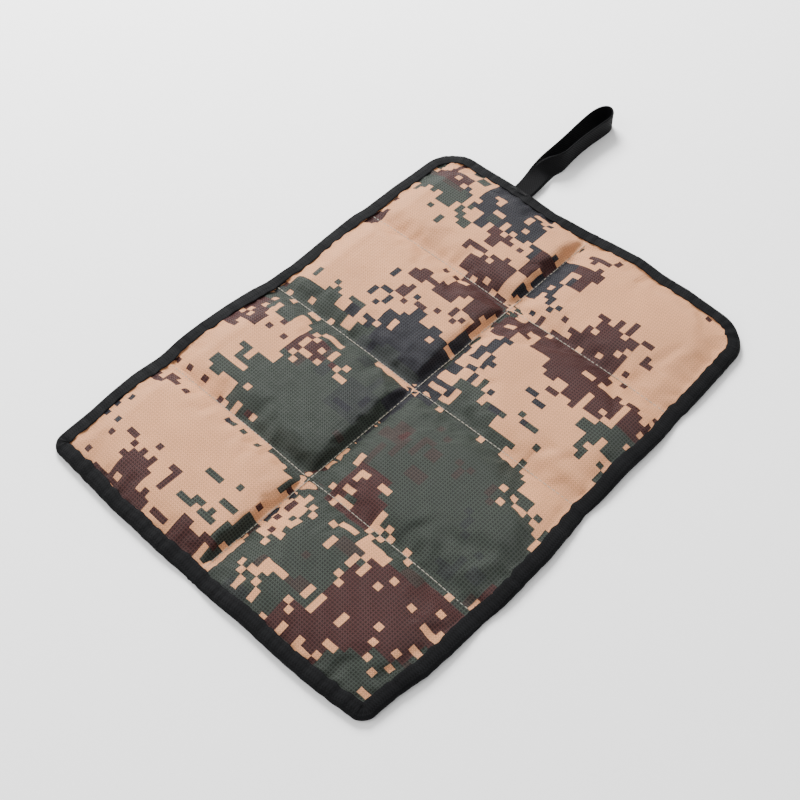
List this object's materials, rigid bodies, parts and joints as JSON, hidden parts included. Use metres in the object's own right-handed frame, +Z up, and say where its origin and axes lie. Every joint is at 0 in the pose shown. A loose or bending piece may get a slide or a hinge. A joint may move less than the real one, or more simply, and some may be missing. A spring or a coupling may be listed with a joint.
{
  "type": "folding sit mat",
  "caption": "Folding padded sit mat: quilted foam cells in camouflage cloth, taped round the edge, with a webbing loop for hanging it up.",
  "frame": {"origin": "on the resting face, where the lengthwise seam crosses the middle cross seam", "axes": "+X to the right column, +Y to the end with the loop, +Z up out of the seat face"},
  "size_m": [0.2834, 0.4977, 0.0164],
  "materials": {
    "camo_cloth": "satin",
    "black_tape": "matte",
    "black_webbing": "matte",
    "thread": "matte",
    "foam": "matte"
  },
  "bodies": {
    "left_1": {"foam_pad_left_1": "foam", "top_cover_left_1": "camo_cloth", "bottom_cover_left_1": "camo_cloth", "edge_binding_left_1": "black_tape", "lengthwise_stitch_1": "thread", "cross_stitch_left_1": "thread"},
    "left_2": {"foam_pad_left_2": "foam", "top_cover_left_2": "camo_cloth", "bottom_cover_left_2": "camo_cloth", "edge_binding_left_2": "black_tape", "lengthwise_stitch_2": "thread", "cross_stitch_left_2": "thread"},
    "left_3": {"foam_pad_left_3": "foam", "top_cover_left_3": "camo_cloth", "bottom_cover_left_3": "camo_cloth", "edge_binding_left_3": "black_tape", "lengthwise_stitch_3": "thread", "cross_stitch_left_3": "thread"},
    "left_4": {"foam_pad_left_4": "foam", "top_cover_left_4": "camo_cloth", "bottom_cover_left_4": "camo_cloth", "edge_binding_left_4": "black_tape", "lengthwise_stitch_4": "thread", "loop_tab": "black_webbing", "loop_bartack": "thread"},
    "right_1": {"foam_pad_right_1": "foam", "top_cover_right_1": "camo_cloth", "bottom_cover_right_1": "camo_cloth", "edge_binding_right_1": "black_tape", "cross_stitch_right_1": "thread"},
    "right_2": {"foam_pad_right_2": "foam", "top_cover_right_2": "camo_cloth", "bottom_cover_right_2": "camo_cloth", "edge_binding_right_2": "black_tape", "cross_stitch_right_2": "thread"},
    "right_3": {"foam_pad_right_3": "foam", "top_cover_right_3": "camo_cloth", "bottom_cover_right_3": "camo_cloth", "edge_binding_right_3": "black_tape", "cross_stitch_right_3": "thread"},
    "right_4": {"foam_pad_right_4": "foam", "top_cover_right_4": "camo_cloth", "bottom_cover_right_4": "camo_cloth", "edge_binding_right_4": "black_tape"},
    "loop": {"loop_strap": "black_webbing"}
  },
  "joints": [
    {"name": "lengthwise_fold", "type": "hinge", "parent": "left_2", "child": "right_2", "pos_m": [0, 0, -0.0003], "axis": [0, -1, 0], "range_deg": [-180, 0]},
    {"name": "front_fold", "type": "hinge", "parent": "left_2", "child": "left_1", "pos_m": [0, -0.0975, -0.0003], "axis": [1, 0, 0], "range_deg": [0, 180]},
    {"name": "front_fold_right", "type": "hinge", "parent": "right_2", "child": "right_1", "pos_m": [0, -0.0975, -0.0003], "axis": [1, 0, 0], "range_deg": [0, 180]},
    {"name": "middle_fold", "type": "hinge", "parent": "left_2", "child": "left_3", "pos_m": [0, 0, 0.0107], "axis": [1, 0, 0], "range_deg": [0, 180]},
    {"name": "middle_fold_right", "type": "hinge", "parent": "right_2", "child": "right_3", "pos_m": [0, 0, 0.0107], "axis": [1, 0, 0], "range_deg": [0, 180]},
    {"name": "rear_fold", "type": "hinge", "parent": "left_3", "child": "left_4", "pos_m": [0, 0.0975, -0.0003], "axis": [-1, 0, 0], "range_deg": [0, 180]},
    {"name": "rear_fold_right", "type": "hinge", "parent": "right_3", "child": "right_4", "pos_m": [0, 0.0975, -0.0003], "axis": [-1, 0, 0], "range_deg": [0, 180]},
    {"name": "loop_swing", "type": "hinge", "parent": "left_4", "child": "loop", "pos_m": [-0.071, 0.1962, 0.0016], "axis": [1, 0, 0], "range_deg": [-90, 100]}
  ],
  "couplings": [
    {"joint": "front_fold_right", "follows": "front_fold", "ratio": 1},
    {"joint": "middle_fold_right", "follows": "middle_fold", "ratio": 1},
    {"joint": "rear_fold_right", "follows": "rear_fold", "ratio": 1}
  ]
}
